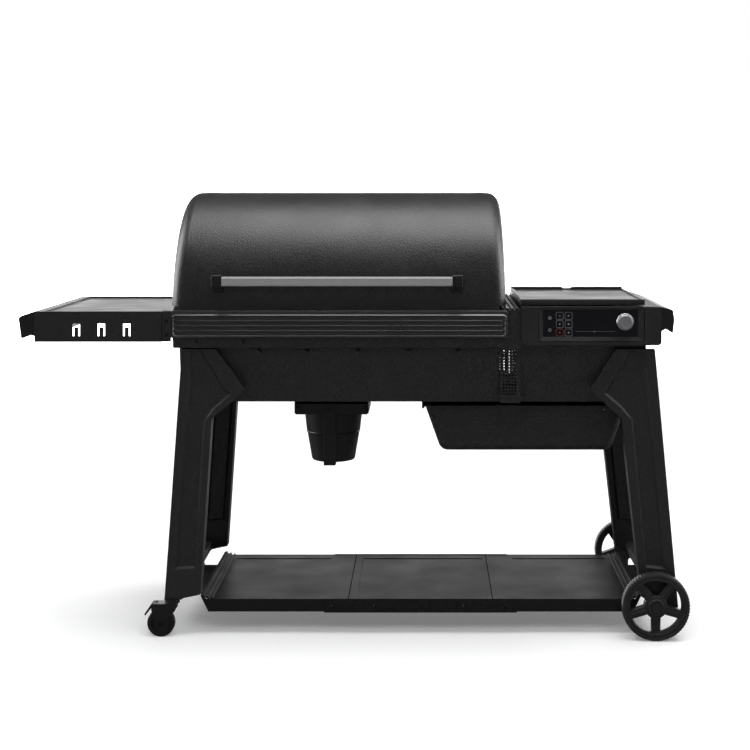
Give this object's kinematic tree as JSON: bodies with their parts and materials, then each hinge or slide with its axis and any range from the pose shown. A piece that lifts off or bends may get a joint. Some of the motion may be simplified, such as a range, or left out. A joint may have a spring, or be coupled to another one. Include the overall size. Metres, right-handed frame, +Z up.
{
  "type": "pellet smoker grill",
  "caption": "Free-standing wood-pellet smoker grill with a double-walled lid, pellet hopper and control panel, side shelf, bottom shelf, ash keg, storage bin, wheels and casters.",
  "frame": {"origin": "on the floor, in the middle of the overall length and depth", "axes": "+X from the side shelf to the hopper, +Y from the control panel side to the back, +Z up"},
  "size_m": [1.825, 0.635, 1.219],
  "materials": {
    "black_powder_coat": "fine-textured powder coat",
    "stainless_steel": "brushed",
    "porcelain_coated_steel": "gloss porcelain enamel",
    "satin_steel": "satin anodised grey",
    "black_metal": "satin black",
    "motor_metal": "galvanised",
    "black_plastic": "moulded matte",
    "caster_tread": "moulded rubber",
    "display_glass": "gloss black panel",
    "gasket_fibre": "braided fibre",
    "zinc_fasteners": "zinc plated"
  },
  "bodies": {
    "frame": {"auger_motor": "motor_metal", "auger_tube": "stainless_steel", "barrel_end_panels": "black_powder_coat", "barrel_liner": "stainless_steel", "barrel_shell": "black_powder_coat", "bin_rails": "black_powder_coat", "blower_housing": "motor_metal", "body_screws": "zinc_fasteners", "caster_plates": "black_metal", "control_fascia": "black_plastic", "controller_board": "black_plastic", "display_glass": "display_glass", "exhaust_duct": "black_powder_coat", "fire_pot": "stainless_steel", "front_legs": "black_powder_coat", "front_rail": "black_metal", "gap_panels": "black_powder_coat", "heat_baffle": "stainless_steel", "hinge_pins": "black_powder_coat", "hopper_bin": "stainless_steel", "hopper_housing": "black_powder_coat", "igniter_rod": "stainless_steel", "keg_collar": "black_powder_coat", "leg_cross_bars": "black_powder_coat", "lid_gasket": "gasket_fibre", "pellet_guard": "stainless_steel", "power_inlet": "black_plastic", "probe_jacks": "zinc_fasteners", "rear_legs": "black_powder_coat", "shelf_centre_panel": "black_powder_coat", "shelf_end_panels": "black_powder_coat", "side_rails": "black_metal", "side_shelf": "black_powder_coat", "temperature_sensor": "stainless_steel", "wheel_axles": "black_powder_coat"},
    "lid": {"lid_centre_sheet": "black_powder_coat", "lid_end_caps": "black_powder_coat", "lid_liner": "stainless_steel", "lid_handle_bar": "satin_steel", "lid_handle_brackets": "black_metal", "lid_hinge_knuckles": "black_powder_coat"},
    "hopper_lid": {"hopper_lid": "black_powder_coat"},
    "cleanout_door": {"cleanout_door": "stainless_steel"},
    "control_knob": {"control_knob": "satin_steel"},
    "keg": {"keg_bucket": "black_metal", "keg_strap_handle": "black_metal"},
    "storage_bin": {"storage_bin": "black_powder_coat"},
    "upper_grate": {"upper_grate": "porcelain_coated_steel"},
    "lower_grate": {"lower_grate": "porcelain_coated_steel"},
    "drip_tray": {"drip_tray": "stainless_steel"},
    "auger_screw": {"auger_screw": "motor_metal"},
    "blower_wheel": {"blower_wheel": "motor_metal"},
    "wheel_front": {"wheel_front": "black_plastic"},
    "wheel_rear": {"wheel_rear": "black_plastic"},
    "caster_front": {"caster_fork_front": "black_metal"},
    "caster_rear": {"caster_fork_rear": "black_metal"},
    "caster_wheel_front": {"caster_wheel_front": "caster_tread"},
    "caster_wheel_rear": {"caster_wheel_rear": "caster_tread"},
    "caster_pedal_front": {"caster_pedal_front": "black_metal"},
    "caster_pedal_rear": {"caster_pedal_rear": "black_metal"}
  },
  "joints": [
    {"name": "lid_hinge", "type": "hinge", "parent": "frame", "child": "lid", "pos_m": [0, 0.279, 1.003], "axis": [-1, 0, 0], "range_deg": [0, 80]},
    {"name": "hopper_lid_hinge", "type": "hinge", "parent": "frame", "child": "hopper_lid", "pos_m": [0.62, 0.167, 0.9165], "axis": [-1, 0, 0], "range_deg": [0, 95]},
    {"name": "cleanout_door_hinge", "type": "hinge", "parent": "frame", "child": "cleanout_door", "pos_m": [0.64, 0.145, 0.901], "axis": [1, 0, 0], "range_deg": [0, 75]},
    {"name": "knob_turn", "type": "hinge", "parent": "frame", "child": "control_knob", "pos_m": [0.7365, -0.3, 0.867], "axis": [0, -1, 0], "continuous": true},
    {"name": "keg_slide", "type": "slide", "parent": "frame", "child": "keg", "axis": [0, -1, 0], "range_m": [0, 0.25]},
    {"name": "bin_slide", "type": "slide", "parent": "frame", "child": "storage_bin", "axis": [0, -1, 0], "range_m": [0, 0.038]},
    {"name": "upper_grate_slide", "type": "slide", "parent": "frame", "child": "upper_grate", "axis": [0, -1, 0], "range_m": [0, 0.12]},
    {"name": "lower_grate_lift", "type": "slide", "parent": "frame", "child": "lower_grate", "axis": [0, 0, 1], "range_m": [0, 0.02]},
    {"name": "drip_tray_lift", "type": "slide", "parent": "frame", "child": "drip_tray", "axis": [0, 0, 1], "range_m": [0, 0.02]},
    {"name": "auger_spin", "type": "hinge", "parent": "frame", "child": "auger_screw", "pos_m": [0.3, -0.02, 0.671], "axis": [1, 0, 0], "continuous": true},
    {"name": "blower_spin", "type": "hinge", "parent": "frame", "child": "blower_wheel", "pos_m": [0.54, 0.17, 0.72], "axis": [1, 0, 0], "continuous": true},
    {"name": "wheel_front_spin", "type": "hinge", "parent": "frame", "child": "wheel_front", "pos_m": [0.8199, -0.2995, 0.0926], "axis": [0, 1, 0], "continuous": true},
    {"name": "wheel_rear_spin", "type": "hinge", "parent": "frame", "child": "wheel_rear", "pos_m": [0.8199, 0.2995, 0.0926], "axis": [0, 1, 0], "continuous": true},
    {"name": "caster_front_swivel", "type": "hinge", "parent": "frame", "child": "caster_front", "pos_m": [-0.5035, -0.262, 0.09], "axis": [0, 0, 1], "continuous": true},
    {"name": "caster_front_spin", "type": "hinge", "parent": "caster_front", "child": "caster_wheel_front", "pos_m": [-0.5335, -0.262, 0.0375], "axis": [0, 1, 0], "continuous": true},
    {"name": "caster_front_brake", "type": "hinge", "parent": "caster_front", "child": "caster_pedal_front", "pos_m": [-0.5505, -0.262, 0.085], "axis": [0, -1, 0], "range_deg": [0, 12]},
    {"name": "caster_rear_swivel", "type": "hinge", "parent": "frame", "child": "caster_rear", "pos_m": [-0.5035, 0.262, 0.09], "axis": [0, 0, 1], "continuous": true},
    {"name": "caster_rear_spin", "type": "hinge", "parent": "caster_rear", "child": "caster_wheel_rear", "pos_m": [-0.5335, 0.262, 0.0375], "axis": [0, 1, 0], "continuous": true},
    {"name": "caster_rear_brake", "type": "hinge", "parent": "caster_rear", "child": "caster_pedal_rear", "pos_m": [-0.5505, 0.262, 0.085], "axis": [0, -1, 0], "range_deg": [0, 12]}
  ]
}
